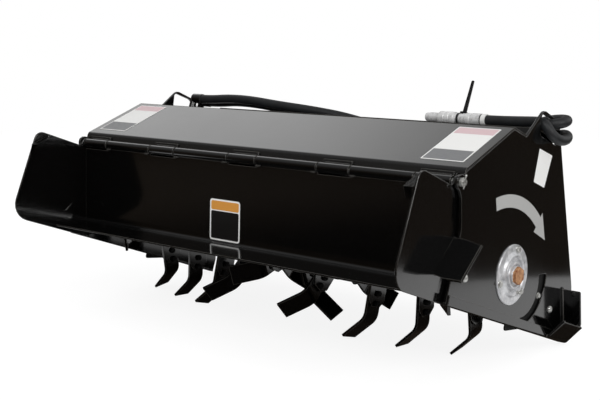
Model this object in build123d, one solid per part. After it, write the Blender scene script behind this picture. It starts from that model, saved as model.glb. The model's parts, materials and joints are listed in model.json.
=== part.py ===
from build123d import *
import math
import os

# Rotary tiller (rotavator) for a skid-steer loader. It is modelled with its skids level and
# then tipped back onto its tines and the rear corners of its skids, as it parks.
# Millimetres. Working axes: X along the rotor with the bearing end at +X, -Y the door side,
# +Y the coupler side, +Z up, origin on the rotor axis halfway between the end plates.
# Points in an outline or a bent sheet are (Y, Z).

# ---- body ----
body_length = 1460.0          # over the outer faces of the end plates
plate = 8.0                   # end plate thickness
sheet = 5.0                   # hood, deck, rear wall and door thickness
deck_lap = 24.0               # deck under the hood's rear edge
seat_gap = 0.3                # between pieces that only rest on each other
bend_radius = 12.0            # middle line of a sheet bend

plate_bottom = -127.0
plate_front = -300.0
plate_rear = 391.0
front_bend = (-336.0, 204.0)
ridge = (-146.0, 366.0)
valley = (-76.0, 366.0)
ear_peak = (-6.0, 460.0)
ear_rear = (94.0, 456.0)
rear_knee = (380.0, 35.0)
window = [(-14.0, 449.0), (76.0, 449.0), (110.0, 389.0), (-2.0, 389.0)]
window_corner = 12.0

# ---- skid shoes ----
shoe_sheet = 6.0
shoe_front = -238.0
shoe_inner_height = 104.0
shoe_outer_height = 27.0
shoe_flange_reach = 58.0
shoe_flange_top = (323.0, 18.0)
shoe_flange_bottom = (391.0, -115.0)
shoe_bolt_places = [-236.0, 266.0]
shoe_bolt_z = -53.0
shoe_bolt_radius = 6.0
step_inset = 22.0             # the foot step, from the end plate to its upturned edge
step_start = 270.0            # the foot step's front edge
step_sheet = 8.0
slot_center = (75.0, 4.0)
slot_radius = 105.0
slot_width = 30.0
slot_start = -66.0
slot_sweep = 84.0

# ---- door ----
hinge_y = -349.0
hinge_z = 168.0
rod_radius = 8.0
rod_head_radius = 11.0
knuckle_radius = 14.0
eye_radius = 21.0
running_fit = 0.1             # radial play on the rod
knuckle_gap = 5.0             # between frame and door knuckles
knuckle_pitch = 337.0         # the middle three
knuckle_length = 106.0
crease = (-268.0, -77.0)
lip_edge = (-384.0, -122.0)
wing_sheet = 6.0
wing_gap = 5.0                # wing to end plate
wing_top = (-538.0, 152.0)
wing_low = (-549.0, -132.0)
wing_corner = 66.0
stop_top = (-303.8, 33.5)
stop_bottom = (-363.9, -68.5)
stop_sheet = 8.0
stop_reach = 70.0             # beyond the end plate
stop_skew = (16.0, 8.0)       # its outer edge is lower by these, at the top and at the bottom

# ---- rotor ----
tip_radius = 262.0
tube_radius = 51.0
tube_wall = 8.0
shaft_radius = 25.0
shaft_fit = 0.05
flange_count = 9
flange_inset = 112.0          # outer flanges from the end plates' outer faces
flange_sheet = 8.0
hub_radius = 100.0
lobe_reach = 158.0
lobe_width = 78.0
lobe_corner = 20.0
tine_width = 62.0
tine_sheet = 8.0
tine_root = 98.0              # inner end of a shank
tine_bend_at = 194.0
tine_bend_radius = 44.0
tine_reach = 76.0             # sideways reach of a tip from its flange
tines_per_flange = 4
# each flange's first tine from straight down when parked, degrees, rear positive,
# from the bearing end to the drive end: a chevron
tine_phase = [8.0, -3.0, -15.0, -48.0, -72.0, -48.0, -15.0, -3.0, 8.0]

# ---- bearings and drive ----
bearing_radius = 82.5
# the dished casting from its rim in to the bore: radius, height
bearing_profile = [(82.5, 5.0), (60.0, 6.0), (53.0, 10.0), (48.0, 10.0), (39.0, 7.0), (36.0, 7.0), (34.0, 12.0)]
drive_bearing_radius = 68.0
drive_bearing_height = 13.0
shaft_end = 12.0              # beyond the end plate
bolt_corner = 25.0
bolt_head = 13.0
beam_size = 95.0
beam_wall = 6.0
beam_y = 48.0
beam_z = 362.0
motor_bay = 235.0             # drive end plate to the beam
motor_y = 44.0
motor_z = 330.0
motor_radius = 48.0
motor_length = 176.0
port_size = (96.0, 68.0)       # along X and Y
port_rise = 8.0               # above the motor
tray_gap = 8.0                # tray middle line to the motor
case_width = 62.0
case_low_radius = 92.0
case_high_radius = 54.0
case_rim = 5.0
case_cover = 8.0
case_wall = 5.0

# ---- coupler ----
wall_distance = 296.0         # rear wall from the rotor axis
wall_low = 20.0
coupler_width = 1130.0
coupler_height = 450.0
coupler_top = 400.0
coupler_sheet = 8.0
hook_length = 46.0
ledge_depth = 52.0
ledge_sheet = 10.0
wedge_slot = (64.0, 28.0)
wedge_pitch = 860.0
rib_count = 4
rib_drop = 90.0               # below the coupler's top
rib_height = 240.0
rib_slant = 30.0

# ---- hoses ----
hose_radius = 15.0
riser_radius = 12.0
ferrule_radius = 17.0
ferrule_length = 42.0
route_half = 730.0            # half the body that the routes below are drawn for
coupling_steps = [(58.0, 17.5), (22.0, 15.0), (56.0, 19.0), (46.0, 14.0)]   # length and radius, from the hose
tie_from_end = 280.0          # the tie's place, from the bearing end
tie_width = 6.0
tie_sheet = 2.0
tie_tail_top = 552.0
tie_tail_lean = 6.0
supply_route = [(-613, 22, 443), (-562, 22, 443), (-490, 23, 450), (-390, 26, 450), (-265, 36, 440),
                (-130, 66, 437), (-15, 105, 432), (125, 113, 404), (270, 112, 395), (430, 112, 396.5),
                (550, 112, 405), (625, 112, 437), (680, 112, 462), (724, 112, 468), (745, 104, 465),
                (757, 84, 457), (759, 62, 446), (749, 48, 437.5), (728, 43.5, 431.5), (696, 53, 430),
                (640, 63, 430), (570, 66, 428.8), (520, 66, 428.8)]
return_route = [(-613, 62, 443), (-562, 62, 443), (-480, 65, 452), (-380, 74, 450), (-280, 90, 441),
                (-180, 109, 428), (-60, 114, 393), (80, 112, 364), (255, 113, 362), (430, 113, 363),
                (560, 116, 367), (630, 123, 385), (690, 131, 418), (722, 136, 431), (744, 128, 428),
                (757, 106, 413), (763, 78, 399), (761, 46, 391), (749, 23, 400), (738, 13.5, 418),
                (717, 12.5, 430), (680, 17, 430.5), (625, 23, 430), (570, 24, 428.8), (520, 24, 428.8)]

half = body_length / 2
inner = half - plate
parts = {}


# ---- helpers ----
def outline(points):
    return make_face(Polyline(*points, close=True))


def bent(points, radii, thickness):
    """A bent sheet seen from its end, drawn about its middle line."""
    if len(points) > 2:
        line = FilletPolyline(*points, radius=radii)
    else:
        line = Polyline(*points)
    return trace(line, line_width=thickness)


def across(shape, x0, x1):
    """An outline in Y and Z made solid from x0 to x1."""
    solids = [extrude(Plane.YZ * face, amount=x1 - x0) for face in shape.faces()]
    result = Pos(x0, 0, 0) * solids[0]
    for other in solids[1:]:
        result += Pos(x0, 0, 0) * other
    return result


def disc(x0, x1, y, z, radius):
    return across(Pos(y, z) * Circle(radius), x0, x1)


def block(x0, x1, y0, y1, z0, z1):
    return Pos((x0 + x1) / 2, (y0 + y1) / 2, (z0 + z1) / 2) * Box(x1 - x0, y1 - y0, z1 - z0)


def mirrored(shape):
    return mirror(shape, about=Plane.YZ)


def unit(a, b):
    length = math.hypot(b[0] - a[0], b[1] - a[1])
    return ((b[0] - a[0]) / length, (b[1] - a[1]) / length)


# ---- frame ----
strip_low = (front_bend[0], hinge_z + knuckle_radius + 3)
hood_profile = bent([strip_low, front_bend, ridge, valley], [bend_radius, bend_radius], sheet)
hood = across(hood_profile, -half, half)
for x in (inner - 8, 8 - inner):
    hood -= disc(x - 8, x + 8, hinge_y, hinge_z, eye_radius + 5)
parts["hood_panel"] = hood


def end_plate_face():
    corners = [(plate_front, plate_bottom), (plate_front, 60), (front_bend[0], 140), front_bend, ridge,
               valley, ear_peak, ear_rear, rear_knee, (plate_rear, plate_bottom)]
    face = outline(corners) + Pos(hinge_y, hinge_z) * Circle(eye_radius)
    face -= hood_profile
    face = max(face.faces(), key=lambda piece: piece.area)
    face -= Pos(hinge_y, hinge_z) * Circle(rod_radius + running_fit)
    opening = outline(window)
    face -= fillet(opening.vertices(), window_corner)
    face -= Circle(shaft_radius + 8)
    return face


adjusting_slot = trace(CenterArc(slot_center, slot_radius, slot_start, slot_sweep), line_width=slot_width)
parts["end_plate_right"] = across(end_plate_face() - adjusting_slot, inner, half)
parts["end_plate_left"] = across(end_plate_face() - adjusting_slot, -half, -inner)

# deck behind the ridge, notched round the motor, with a tray under it
deck_z = valley[1] - sheet
wall_top = beam_z - 20
bay_front = motor_y - motor_radius - 15
deck = block(-inner, inner, valley[0] - deck_lap, beam_y - beam_size / 2, deck_z - sheet / 2, deck_z + sheet / 2)
deck -= block(-half, -half + motor_bay, bay_front, beam_y, deck_z - 20, deck_z + 20)
parts["trough_deck"] = deck
tray_low = motor_z - motor_radius - tray_gap
tray_back = beam_y + beam_size / 2 + sheet
tray_line = [(bay_front - sheet / 2, deck_z - sheet / 2), (bay_front - sheet / 2, tray_low),
             (tray_back, tray_low), (tray_back, wall_top - sheet / 2)]
parts["motor_tray"] = across(bent(tray_line, [bend_radius, bend_radius], sheet), -inner, -half + motor_bay)

beam_x = -half + motor_bay
beam = block(beam_x, inner, beam_y - beam_size / 2, beam_y + beam_size / 2,
             beam_z - beam_size / 2, beam_z + beam_size / 2)
hollow = beam_size / 2 - beam_wall
beam -= block(beam_x + beam_wall, inner, beam_y - hollow, beam_y + hollow, beam_z - hollow, beam_z + hollow)
parts["main_beam"] = beam

# rear wall and coupler lean with the end plates' rear edges
down = unit(ear_rear, rear_knee)
out = (-down[1], down[0])


def on_slope(distance, z):
    """The point at height z on the line that lies this far out from the rotor axis."""
    run = (out[1] * distance - z) / -down[1]
    return (out[0] * distance + down[0] * run, z)


wall_bend = on_slope(wall_distance, wall_top)
wall_profile = bent([(beam_y + beam_size / 2, wall_top), wall_bend, on_slope(wall_distance, wall_low)],
                    [bend_radius], sheet)
parts["rear_wall"] = across(wall_profile, -inner, inner)

coupler_distance = out[0] * ear_rear[0] + out[1] * ear_rear[1] + coupler_sheet / 2
coupler_high = on_slope(coupler_distance, coupler_top)
coupler_low = (coupler_high[0] + down[0] * coupler_height, coupler_high[1] + down[1] * coupler_height)
lip = ((out[0] + down[0]) / math.sqrt(2), (out[1] + down[1]) / math.sqrt(2))
hook_tip = (coupler_high[0] + lip[0] * hook_length, coupler_high[1] + lip[1] * hook_length)
coupler = across(bent([coupler_low, coupler_high, hook_tip], [bend_radius], coupler_sheet),
                 -coupler_width / 2, coupler_width / 2)
lean = math.degrees(math.atan2(down[0], -down[1]))
plate_middle = ((coupler_high[0] + coupler_low[0]) / 2, (coupler_high[1] + coupler_low[1]) / 2)


def on_coupler(x, shape, along=0.0, off=0.0):
    """Place a shape on the coupler plate: local Z up the plate, local Y out from it."""
    y = plate_middle[0] - down[0] * along + out[0] * off
    z = plate_middle[1] - down[1] * along + out[1] * off
    return Pos(x, y, z) * Rot(lean, 0, 0) * shape


parts["coupler_plate"] = coupler

ledge_width = coupler_sheet + ledge_depth
ledge = Box(coupler_width, ledge_width, ledge_sheet)
for side in (-1, 1):
    ledge -= Pos(side * wedge_pitch / 2, coupler_sheet, 0) * Box(wedge_slot[0], wedge_slot[1], 3 * ledge_sheet)
parts["coupler_ledge"] = on_coupler(0, ledge, along=-(coupler_height + ledge_sheet) / 2 - seat_gap,
                                    off=(ledge_width - coupler_sheet) / 2)

rib_in = wall_distance + sheet / 2
rib_out = coupler_distance - coupler_sheet / 2
rib_top = coupler_top - rib_drop
rib_low = rib_top - rib_height
rib_face = outline([on_slope(rib_in, rib_top), on_slope(rib_out, rib_top), on_slope(rib_out, rib_low),
                    on_slope(rib_in, rib_low - rib_slant)])
ribs = []
for index in range(rib_count):
    x = (coupler_width - plate) * (index / (rib_count - 1) - 0.5)
    ribs.append(across(rib_face, x - plate / 2, x + plate / 2))
parts["coupler_ribs"] = Compound(ribs)

# ---- hinge ----
tab_back = front_bend[0] - sheet / 2
door_half = inner - wing_gap - wing_sheet
outer_place = door_half - knuckle_gap - knuckle_length / 2
knuckle_places = [-outer_place, -knuckle_pitch, 0, knuckle_pitch, outer_place]
frame_knuckles = []
for x in knuckle_places:
    x0 = x - knuckle_length / 2
    x1 = x + knuckle_length / 2
    knuckle = disc(x0, x1, hinge_y, hinge_z, knuckle_radius)
    knuckle += block(x0 + 4, x1 - 4, tab_back - 6, tab_back, hinge_z, front_bend[1] - 10)
    knuckle -= disc(x0, x1, hinge_y, hinge_z, rod_radius + running_fit)
    frame_knuckles.append(knuckle)
parts["hinge_knuckles"] = Compound(frame_knuckles)
rod_end = half + 12
rod = disc(-rod_end, rod_end, hinge_y, hinge_z, rod_radius)
for side in (-1, 1):
    head = disc(half + seat_gap, half + 6, hinge_y, hinge_z, rod_head_radius)
    rod += head if side > 0 else mirrored(head)
parts["hinge_rod"] = rod


# ---- skid shoes ----
def skid_shoe():
    """Channel round the lower edge of the end plate at +X, with an upright rear flange."""
    gap = seat_gap
    outer_face = half + gap + shoe_sheet
    inner_face = inner - gap - shoe_sheet
    base = plate_bottom - shoe_sheet
    shoe = block(inner, outer_face, plate_front, plate_rear, base, plate_bottom)
    shoe += block(inner_face, inner, shoe_front, plate_rear, base, plate_bottom)
    shoe += block(half + gap, outer_face, plate_front, plate_rear, base, base + shoe_outer_height)
    inside = outline([(shoe_front, base), (shoe_front, base + 60), (shoe_front + 20, base + shoe_inner_height),
                      (plate_rear - 60, base + shoe_inner_height), (plate_rear, base + 60), (plate_rear, base)])
    shoe += across(inside, inner_face, inner - gap)
    slope = unit(shoe_flange_top, shoe_flange_bottom)
    foot = (shoe_flange_bottom[0], base)
    flange = across(bent([shoe_flange_top, shoe_flange_bottom], [], shoe_sheet), half + gap,
                    half + shoe_flange_reach)
    edge = half + shoe_flange_reach
    step_top = base + step_sheet
    step = [(half + gap, base), (half + step_inset, base), (edge, shoe_flange_bottom[1]),
            (edge, shoe_flange_bottom[1] + step_sheet + 1), (half + step_inset - 3, step_top), (half + gap, step_top)]
    floor = extrude(Plane.XZ * outline(step), amount=plate_rear - step_start)
    shoe += Pos(0, plate_rear, 0) * floor
    shoe += flange
    return shoe


right_shoe = skid_shoe()
for y in shoe_bolt_places:
    right_shoe -= disc(inner - 10, half + 10, y, shoe_bolt_z, shoe_bolt_radius)
parts["skid_shoe_right"] = right_shoe
parts["skid_shoe_left"] = mirrored(right_shoe)


# ---- bearings, chain case and motor ----
bore = shaft_radius + shaft_fit
dish = [(half, bore), (half, bearing_radius)]
dish += [(half + height, radius) for radius, height in bearing_profile]
dish += [(half + bearing_profile[-1][1], bore)]
parts["bearing_right"] = revolve(outline(dish), axis=Axis.X)
left_bearing = disc(-half - drive_bearing_height, -half, 0, 0, drive_bearing_radius)
left_bearing -= disc(-half - 2 * drive_bearing_height, -half + 1, 0, 0, bore)
parts["bearing_left"] = left_bearing


def case_face(extra=0.0):
    run = (motor_y, motor_z)
    turn = unit((0, 0), run)
    side = (-turn[1], turn[0])
    low = case_low_radius + extra
    high = case_high_radius + extra
    body = outline([(side[0] * low, side[1] * low), (run[0] + side[0] * high, run[1] + side[1] * high),
                    (run[0] - side[0] * high, run[1] - side[1] * high), (-side[0] * low, -side[1] * low)])
    return body + Circle(low) + Pos(*run) * Circle(high)


case = across(case_face() - case_face(-case_wall), -half - case_width, -half)
case += across(case_face(case_rim), -half - case_width - case_cover, -half - case_width)
parts["chain_case"] = case

motor = disc(-inner, -inner + 18, motor_y, motor_z, motor_radius)
motor += disc(-inner, -inner + motor_length, motor_y, motor_z, motor_radius - 5)
motor += disc(-inner + 52, -inner + 116, motor_y, motor_z, motor_radius)
port_top = motor_z + motor_radius + port_rise
port_x = -inner + 40 + port_size[0] / 2
motor += block(port_x - port_size[0] / 2, port_x + port_size[0] / 2, motor_y - port_size[1] / 2,
               motor_y + port_size[1] / 2, motor_z, port_top)
parts["drive_motor"] = motor


# ---- rotor, turned so that its tines stand as parked, level with the floor ----
cap = inner - 22
tube = disc(-cap, cap, 0, 0, tube_radius)
tube -= disc(-cap + 10, cap - 10, 0, 0, tube_radius - tube_wall)
parts["rotor_tube"] = tube
right_shaft = disc(cap, half + shaft_end, 0, 0, shaft_radius)
left_shaft = disc(-half - 40, -cap, 0, 0, shaft_radius)
parts["rotor_shafts"] = Compound([right_shaft, left_shaft])
bolt = across(RegularPolygon(bolt_corner, 6, rotation=30), half + shaft_end, half + shaft_end + bolt_head)
parts["shaft_bolt"] = bolt

flange_pitch = (body_length - 2 * flange_inset) / (flange_count - 1)
flange_places = [half - flange_inset - index * flange_pitch for index in range(flange_count)]
tine_step = 360 / tines_per_flange


def turned(shape, degrees):
    """Turn a piece that points straight down towards the rear by this angle."""
    return Rot(degrees, 0, 0) * shape


def flange_face():
    face = Circle(hub_radius)
    corner = lobe_corner
    wide = lobe_width / 2
    lobe = outline([(-wide, 0), (-wide, corner - lobe_reach), (corner - wide, -lobe_reach),
                    (wide - corner, -lobe_reach), (wide, corner - lobe_reach), (wide, 0)])
    for index in range(tines_per_flange):
        face += Rot(0, 0, index * tine_step) * lobe
    return face - Circle(tube_radius + 0.2)


def tine(direction):
    """A shank straight down from its flange, bent sideways to -X or +X."""
    start = direction * (flange_sheet + tine_sheet) / 2
    outer = math.sqrt(tip_radius ** 2 - (tine_width / 2) ** 2)
    splay = math.atan2(tine_reach - abs(start), outer - tine_bend_at)
    tip_z = outer - tine_sheet / 2 * math.sin(splay)
    line = FilletPolyline((start, -tine_root), (start, -tine_bend_at), (direction * tine_reach, -tip_z),
                          radius=tine_bend_radius)
    profile = trace(line, line_width=tine_sheet)
    return Pos(0, tine_width / 2, 0) * extrude(Plane.XZ * profile, amount=tine_width)


flanges = []
tines = {-1: [], 1: []}
one_flange = across(flange_face(), -flange_sheet / 2, flange_sheet / 2)
one_tine = {-1: tine(-1), 1: tine(1)}
for place, phase in zip(flange_places, tine_phase):
    flanges.append(Pos(place, 0, 0) * turned(one_flange, phase))
    for index in range(tines_per_flange):
        direction = -1 if index % 2 == 0 else 1
        tines[direction].append(Pos(place, 0, 0) * turned(one_tine[direction], phase + index * tine_step))
parts["rotor_flanges"] = Compound(flanges)
parts["tines_drive_side"] = Compound(tines[-1])
parts["tines_bearing_side"] = Compound(tines[1])
rotor_names = ["rotor_tube", "rotor_shafts", "shaft_bolt", "rotor_flanges", "tines_drive_side",
               "tines_bearing_side"]

# ---- door ----
panel_down = unit((hinge_y, hinge_z), crease)
panel_start = (hinge_y + panel_down[0] * (knuckle_radius - 1), hinge_z + panel_down[1] * (knuckle_radius - 1))
door_profile = bent([panel_start, crease, lip_edge], [bend_radius], sheet)
panel = across(door_profile, -door_half, door_half)
panel -= disc(-half, half, hinge_y, hinge_z, knuckle_radius)
door_knuckles = []
edge = -door_half
for x in knuckle_places + [None]:
    if x is None:
        x0 = edge
        x1 = door_half
    else:
        x0 = edge
        x1 = x - knuckle_length / 2 - knuckle_gap
        edge = x + knuckle_length / 2 + knuckle_gap
        panel -= disc(x1, edge, hinge_y, hinge_z, knuckle_radius + knuckle_gap)
    if x1 - x0 > 20:
        tube = disc(x0, x1, hinge_y, hinge_z, knuckle_radius)
        door_knuckles.append(tube - disc(x0, x1, hinge_y, hinge_z, rod_radius + running_fit))
parts["door_panel"] = panel
parts["door_knuckles"] = Compound(door_knuckles)


def wing_face():
    body = outline([wing_top, (hinge_y, hinge_z + 8), (hinge_y + 16, hinge_z), (crease[0] + 12, crease[1] - 4),
                    (crease[0] + 4, wing_low[1] + 4), (plate_front, wing_low[1]), wing_low])
    corner = min(body.vertices(), key=lambda v: v.X * 2 + v.Y)
    body = fillet(corner, wing_corner)
    body += Pos(hinge_y, hinge_z) * Circle(eye_radius)
    return body - Pos(hinge_y, hinge_z) * Circle(rod_radius + running_fit)


parts["door_wing_right"] = across(wing_face(), door_half, door_half + wing_sheet)
parts["door_wing_left"] = across(wing_face(), -door_half - wing_sheet, -door_half)
stop_down = unit(stop_top, stop_bottom)
stop_foot = (stop_bottom[0] + stop_down[0] * stop_skew[1], stop_bottom[1] + stop_down[1] * stop_skew[1])
stop_inner = door_half + wing_sheet
stop_outer = half + stop_reach
stop_bar = across(bent([stop_top, stop_foot], [], stop_sheet), stop_inner, stop_outer)
rise = stop_sheet
skewed = outline([(stop_inner, stop_top[1] + rise), (stop_outer, stop_top[1] + rise - stop_skew[0]),
                  (stop_outer, stop_foot[1] - rise), (stop_inner, stop_bottom[1])])
stop_bar &= Pos(0, stop_top[0] + rise, 0) * extrude(Plane.XZ * skewed, amount=stop_top[0] - stop_foot[0] + 2 * rise)
parts["door_stop_right"] = stop_bar
parts["door_stop_left"] = mirrored(stop_bar)

# ---- hoses, from the motor along the beam, out round the ear and back in through its window ----
def fold_radii(points):
    """The largest arc that each corner of a route leaves room for."""
    radii = []
    for before, corner, after in zip(points, points[1:], points[2:]):
        first = Vector(*corner) - Vector(*before)
        second = Vector(*after) - Vector(*corner)
        half_turn = math.radians(first.get_angle(second)) / 2
        radii.append(0.45 * min(first.length, second.length) / math.tan(half_turn))
    return radii


cord_names = ["hose_tie"]
couplings = []
for name, drawn in (("supply", supply_route), ("return", return_route)):
    route = [(x + math.copysign(half - route_half, x), y, z) for x, y, z in drawn]
    radii = fold_radii(route)
    path = FilletPolyline(*route, radius=radii)
    start = Vector(*route[0])
    heading = Vector(*route[1]) - start
    hose = sweep(Plane(start, z_dir=heading) * Circle(hose_radius), path=path)
    print(name, "hose", round(path.length), "mm, radii", [round(value) for value in radii],
          "volume ratio", round(hose.volume / (math.pi * hose_radius ** 2 * path.length), 4))
    parts[f"hose_{name}"] = hose
    x, y, z = route[0]
    riser_x = x - ferrule_length
    riser = Pos(riser_x, y, (port_top + z) / 2) * Cylinder(riser_radius, z - port_top)
    fitting = riser + Pos(riser_x, y, z) * Sphere(riser_radius)
    parts[f"fitting_{name}"] = fitting + disc(riser_x, x, y, z, ferrule_radius)
    x, y, z = route[-1]
    couplings.append((y, z))
    coupling = None
    for length, radius in coupling_steps:
        step = disc(x - length, x, y, z, radius)
        coupling = step if coupling is None else coupling + step
        x -= length
    parts[f"quick_coupler_{name}"] = coupling
    cord_names += [f"hose_{name}", f"quick_coupler_{name}"]

# one cable tie round both hoses beside their couplings, its tail standing up
tie_x = half - tie_from_end
apart = abs(couplings[0][0] - couplings[1][0])
tie_y = (couplings[0][0] + couplings[1][0]) / 2
tie_z = couplings[0][1]
inside = hose_radius + seat_gap
outside = inside + tie_sheet
band = SlotCenterToCenter(apart, 2 * outside) - SlotCenterToCenter(apart, 2 * inside)
tie = across(Pos(tie_y, tie_z) * band, tie_x - tie_width / 2, tie_x + tie_width / 2)
tail_foot = tie_z + outside
tie += block(tie_x - tie_width, tie_x + tie_width, tie_y - tie_width / 2, tie_y + tie_width / 2,
             tail_foot - tie_sheet, tail_foot + tie_width)
tail = outline([(tie_x - tie_width / 2, tail_foot), (tie_x + tie_width / 2, tail_foot),
                (tie_x + tie_tail_lean + tie_width / 3, tie_tail_top),
                (tie_x + tie_tail_lean - tie_width / 3, tie_tail_top)])
tie += Pos(0, tie_y + tie_sheet / 2, 0) * extrude(Plane.XZ * tail, amount=tie_sheet)
parts["hose_tie"] = tie

# ---- parking: tips on the floor, rear skid corners on the floor ----
skid_base = plate_bottom - shoe_sheet
reel = Compound([parts[name] for name in rotor_names]).bounding_box()
axis_height = -reel.min.Z
corner_reach = math.hypot(plate_rear, skid_base)
park_angle = math.degrees(math.asin(axis_height / corner_reach) - math.atan2(-skid_base, plate_rear))
print("parked, tipped back", round(park_angle, 3), "degrees, axis height", round(axis_height, 3))

for name, item in parts.items():
    if name not in rotor_names:
        parts[name] = Rot(-park_angle, 0, 0) * item

box = Compound([item for name, item in parts.items() if name not in cord_names]).bounding_box()
shift = Pos(-(box.min.X + box.max.X) / 2, -(box.min.Y + box.max.Y) / 2, axis_height)
print("lowest", round(box.min.Z + axis_height, 3), "size", box.size)
os.makedirs("parts", exist_ok=True)
for name, item in parts.items():
    parts[name] = shift * item
    parts[name].label = name
    export_step(parts[name], f"parts/{name}.step")


def placed(point):
    """Where a working point lies on the parked machine, in metres."""
    spot = (shift * Rot(-park_angle, 0, 0) * Pos(*point)).position
    return [round(value / 1000, 5) for value in spot]


print("rotor axis", placed((0, 0, 0)))
print("hinge", placed((0, hinge_y, hinge_z)))
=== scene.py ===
import json
import math
import bpy
import bmesh
from mathutils import Matrix, Vector


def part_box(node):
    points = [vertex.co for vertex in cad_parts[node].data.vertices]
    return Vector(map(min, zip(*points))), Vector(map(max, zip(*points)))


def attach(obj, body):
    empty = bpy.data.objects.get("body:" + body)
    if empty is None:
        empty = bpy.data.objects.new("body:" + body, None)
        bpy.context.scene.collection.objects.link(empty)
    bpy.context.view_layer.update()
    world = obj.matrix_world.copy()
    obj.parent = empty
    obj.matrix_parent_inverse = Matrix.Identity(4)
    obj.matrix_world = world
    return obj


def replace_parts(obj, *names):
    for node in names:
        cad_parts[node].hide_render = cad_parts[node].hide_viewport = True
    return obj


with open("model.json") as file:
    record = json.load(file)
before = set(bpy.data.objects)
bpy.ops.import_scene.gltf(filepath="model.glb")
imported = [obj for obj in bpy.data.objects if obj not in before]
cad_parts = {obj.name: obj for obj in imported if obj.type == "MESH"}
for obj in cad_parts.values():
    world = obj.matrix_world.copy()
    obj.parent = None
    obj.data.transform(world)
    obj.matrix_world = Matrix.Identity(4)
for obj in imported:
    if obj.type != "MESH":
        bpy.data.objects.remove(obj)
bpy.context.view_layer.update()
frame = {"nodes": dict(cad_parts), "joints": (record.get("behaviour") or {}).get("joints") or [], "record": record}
scene = bpy.context.scene
nodes = frame["nodes"]
rotorAxis = next(Vector(joint["pos_m"]) for joint in frame["joints"] if joint["name"] == "rotor_spin")

# the tiller parks tipped back; its own sizes are in millimetres from the rotor axis, skids level
body = {"half": 730, "tip": 20.589, "hinge": (-349, 168)}
millimetre = 0.001
merge = 0.01                # points this near in millimetres are one
tipBack = Matrix.Rotation(-math.radians(body["tip"]), 4, "X")
toWorld = Matrix.Translation((0, rotorAxis.y, rotorAxis.z)) @ tipBack @ Matrix.Scale(millimetre, 4)

# the camera stands in front and to the right, and looks back over the bearing at the hood
view = {"lens": 63.2, "sensor": 36, "fromBearing": (1.342, -2.473, 0.644), "towards": (-0.636, 0.755, -0.158)}
bearingCentre = Vector((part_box("bearing_right")[0].x, rotorAxis.y, rotorAxis.z))
cameraData = bpy.data.cameras.new("camera")
cameraData.lens = view["lens"]
cameraData.sensor_width = view["sensor"]
camera = bpy.data.objects.new("camera", cameraData)
scene.collection.objects.link(camera)
camera.location = bearingCentre + Vector(view["fromBearing"])
camera.rotation_euler = Vector(view["towards"]).to_track_quat("-Z", "Y").to_euler()
scene.camera = camera
print("camera placed")


def srgb(code):
    # a colour from its hex code, made linear
    parts = [int(code[i:i + 2], 16) / 255 for i in (0, 2, 4)]
    return tuple(c / 12.92 if c <= 0.04045 else ((c + 0.055) / 1.055) ** 2.4 for c in parts) + (1.0,)


def addNode(tree, kind, settings=None, **inputs):
    # an input is a value or an output to link from; i3 means the fourth socket
    node = tree.nodes.new(kind)
    for key, value in (settings or {}).items():
        setattr(node, key, value)
    for key, value in inputs.items():
        numbered = key[0] == "i" and key[1:].isdigit()
        socket = node.inputs[int(key[1:]) if numbered else key.replace("_", " ")]
        if isinstance(value, bpy.types.NodeSocket):
            tree.links.new(value, socket)
        else:
            socket.default_value = value
    return node


def newMaterial(name):
    material = bpy.data.materials.new(name)
    material.use_nodes = True
    tree = material.node_tree
    tree.nodes.clear()
    return material, tree


def place(tree, stretch=(1, 1, 1)):
    coords = addNode(tree, "ShaderNodeTexCoord").outputs["Object"]
    return addNode(tree, "ShaderNodeMapping", Vector=coords, Scale=stretch).outputs["Vector"]


def finishMaterial(tree, **inputs):
    shader = addNode(tree, "ShaderNodeBsdfPrincipled", **inputs)
    addNode(tree, "ShaderNodeOutputMaterial", Surface=shader.outputs["BSDF"])


# gloss black enamel sprayed on welded steel plate: a deep black that mirrors the room softly, with orange peel, a
# little grey dust and lighter edges, partly where the film has rounded off and thinned and partly a painted highlight
# along the rims; every pattern's scale is a count to the metre, so peel of 300 is about 3 mm wide, and dust, which is
# finer, is drawn at 1 mm so that it shows
enamel = {"black": "060606", "dust": "6b6863", "edge": "77746f", "roughness": 0.13, "smooth": 0.8, "dull": 1.35,
          "peel": 300, "patches": 6.0, "dustGrain": 900, "dustFrom": 0.74, "dustTo": 0.86, "edgeRadius": 0.003,
          "edgeWearAndHighlightFrom": 0.99, "edgeWearAndHighlightTo": 0.8, "edgeWearAndHighlightShare": 0.6, "relief": 0.05, "coat": 0.5, "coatRoughness": 0.06}
grainDepth = 0.001          # how far full white stands above black in every relief, in metres


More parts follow.
